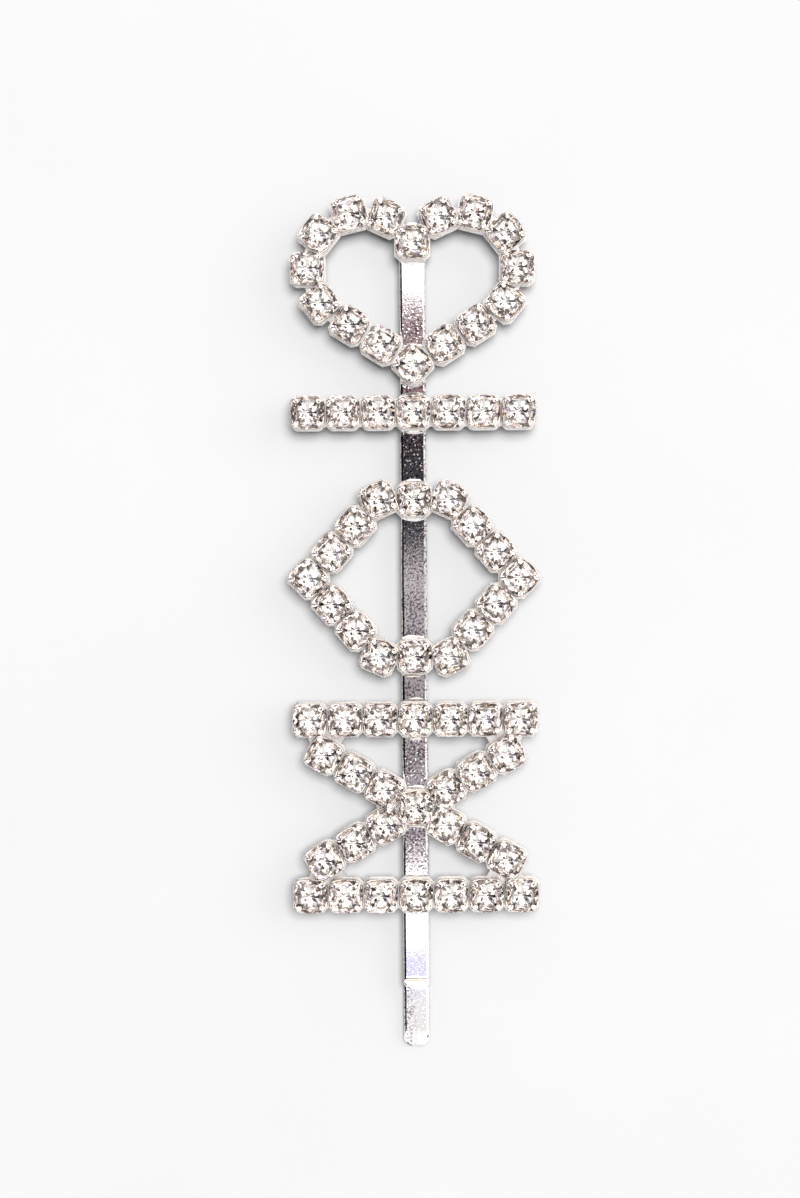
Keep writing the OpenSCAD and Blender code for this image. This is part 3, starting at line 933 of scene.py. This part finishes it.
skyLook = {
    "strength": 0.9,
    "least": 0.02,            # lowest height that the directions are divided by
    "bandScale": 2.5,         # from a direction's Y to its place along the strip's ramp
    "bandHalf": 0.045,
    "bandEnd": 0.165,
    "slats": 420.0,
    "slatDepth": 0.75,
    "slatFrom": 0.285,
    "slatTo": 0.742,
    "cells": 3.2,
    "smallCells": 13.0,
    "smallEdge": (0.38, 0.46),
    "lean": (0.22, 0.27),     # edges of the two sectors ahead and behind
    "sideLevel": 0.16,        # half-width of the two sectors at the sides
    "sideNear": 0.17,
    "leftTone": (0.012, 0.01, 0.01, 1),
    "rightTone": (0.85, 0.85, 0.87, 1),
    "farEdge": (7.2, 10.8),
    "farTone": (0.8, 0.8, 0.82, 1),
}
stripZones = [
    (0.12, (0.97, 0.93, 0.92)), (0.178, (0.99, 0.96, 0.95)), (0.190, (0.75, 0.72, 1.05)),
    (0.212, (0.82, 0.78, 1.16)), (0.220, (1.5, 1.48, 1.6)), (0.236, (4.6, 4.5, 4.6)),
    (0.25, (4.6, 4.5, 4.6)),
    (0.285, (0.52, 0.47, 0.50)), (0.43, (0.42, 0.37, 0.40)), (0.47, (0.50, 0.46, 0.49)),
    (0.53, (0.66, 0.62, 0.65)), (0.545, (0.05, 0.048, 0.06)), (0.64, (0.05, 0.048, 0.06)),
    (0.655, (0.45, 0.32, 0.36)), (0.668, (0.22, 0.13, 0.15)), (0.69, (0.46, 0.33, 0.34)),
    (0.70, (0.27, 0.17, 0.19)), (0.72, (0.42, 0.30, 0.31)), (0.742, (0.48, 0.37, 0.37)),
    (0.754, (1.7, 1.66, 1.7)), (0.772, (4.6, 4.5, 4.6))]
panelTones = [
    (0.0, (0.008, 0.006, 0.008)), (0.20, (0.12, 0.06, 0.035)), (0.24, (0.60, 0.38, 0.25)),
    (0.27, (0.50, 0.45, 0.62)), (0.30, (1.9, 1.82, 1.84)), (0.60, (2.5, 2.43, 2.50)),
    (0.86, (3.0, 2.85, 2.8))]
smallTones = [
    (0.0, (0.02, 0.015, 0.015)), (0.08, (0.14, 0.08, 0.05)), (0.11, (0.30, 0.27, 0.42)),
    (0.15, (1.5, 1.45, 1.55)), (0.35, (2.6, 2.5, 2.5)), (0.92, (2.2, 1.9, 1.55))]
aheadTones = [
    (0.0, (1.15, 1.15, 1.17)), (0.079, (0.95, 0.50, 0.16)), (0.16, (0.80, 0.38, 0.10)),
    (0.20, (2.8, 2.7, 2.6))]


def patches(tree, where, scale, tones):
    # one flat tone for each cell
    cells = addNode(tree, "ShaderNodeTexVoronoi", {"Vector": where, "Scale": scale})
    pick = addNode(tree, "ShaderNodeSeparateColor", {0: cells.outputs["Color"]}).outputs[0]
    return rampNode(tree, pick, tones, "CONSTANT")


def stripBand(tree, py):
    # what the flat strip mirrors: light and dark zones, crossed by slats in the middle
    look = skyLook
    along = calc(tree, "ADD", calc(tree, "MULTIPLY", py, look["bandScale"]), 0.5)
    zones = rampNode(tree, along, stripZones)
    wave = calc(tree, "SINE", calc(tree, "MULTIPLY", along, look["slats"]))
    slats = calc(tree, "MULTIPLY_ADD", wave, look["slatDepth"], 1.0)
    within = calc(tree, "MULTIPLY", calc(tree, "GREATER_THAN", along, look["slatFrom"]),
                  calc(tree, "LESS_THAN", along, look["slatTo"]))
    gain = addNode(tree, "ShaderNodeMapRange", {"Value": within, "To Min": 1.0, "To Max": slats})
    band = addNode(tree, "ShaderNodeVectorMath", {0: zones, "Scale": gain.outputs[0]}, operation="SCALE")
    return band.outputs[0]


def studioSky():
    # white panels and dark gaps overhead, so polished metal and cut glass have something to show
    look = skyLook
    world = bpy.data.worlds.new("studioSky")
    world.use_nodes = True
    tree = world.node_tree
    back = tree.nodes["Background"]
    where = addNode(tree, "ShaderNodeTexCoord").outputs["Generated"]
    parts = addNode(tree, "ShaderNodeSeparateXYZ", {0: where}).outputs
    up = calc(tree, "MAXIMUM", parts["Z"], look["least"])
    px = calc(tree, "DIVIDE", parts["X"], up)
    py = calc(tree, "DIVIDE", parts["Y"], up)
    sizeX = calc(tree, "ABSOLUTE", px)
    sizeY = calc(tree, "ABSOLUTE", py)
    squares = calc(tree, "ADD", calc(tree, "MULTIPLY", px, px), calc(tree, "MULTIPLY", py, py))
    away = calc(tree, "SQRT", squares)
    inner = span(tree, away, *look["smallEdge"], "SMOOTHSTEP")
    colour = mixed(tree, inner, patches(tree, where, look["smallCells"], smallTones),
                   patches(tree, where, look["cells"], panelTones))
    lean = calc(tree, "DIVIDE", px, calc(tree, "MAXIMUM", sizeY, 0.001))
    beside = span(tree, calc(tree, "ABSOLUTE", lean), *look["lean"], "SMOOTHSTEP")
    ahead = rampNode(tree, calc(tree, "MULTIPLY", py, 0.5), aheadTones)
    colour = mixed(tree, beside, ahead, colour)
    level = calc(tree, "DIVIDE", sizeY, calc(tree, "MAXIMUM", sizeX, 0.001))
    level = calc(tree, "LESS_THAN", level, look["sideLevel"])
    near = calc(tree, "LESS_THAN", sizeY, look["sideNear"])
    leftSide = calc(tree, "MULTIPLY", calc(tree, "LESS_THAN", px, 0.0),
                    calc(tree, "MAXIMUM", level, near))
    rightSide = calc(tree, "MULTIPLY", calc(tree, "GREATER_THAN", px, 0.0), level)
    colour = mixed(tree, leftSide, colour, look["leftTone"])
    colour = mixed(tree, rightSide, colour, look["rightTone"])
    colour = mixed(tree, span(tree, away, *look["farEdge"], "SMOOTHSTEP"), colour, look["farTone"])
    sideways = span(tree, sizeX, look["bandHalf"] * 0.85, look["bandHalf"] * 1.15, "SMOOTHSTEP")
    onward = span(tree, sizeY, look["bandEnd"] * 0.9, look["bandEnd"] * 1.1, "SMOOTHSTEP")
    colour = mixed(tree, calc(tree, "MAXIMUM", sideways, onward), stripBand(tree, py), colour)
    tree.links.new(colour, back.inputs["Color"])
    back.inputs["Strength"].default_value = look["strength"]
    bpy.context.scene.world = world


cameraSeat = {"lens": 91.4, "place": (-1.4 * mm, 2.28 * mm, 300 * mm), "roll": -0.36}


def overheadCamera():
    data = bpy.data.cameras.new("overhead")
    data.lens = cameraSeat["lens"]
    data.clip_start = 10 * mm
    camera = bpy.data.objects.new("overhead", data)
    camera.location = cameraSeat["place"]
    camera.rotation_euler = (0, 0, math.radians(cameraSeat["roll"]))
    bpy.context.scene.collection.objects.link(camera)
    bpy.context.scene.camera = camera


floorPlane()
for name, lamp in lamps.items():
    areaLight(name, **lamp)
studioSky()
overheadCamera()
bpy.context.scene.view_settings.view_transform = "Standard"
print("studio ready")
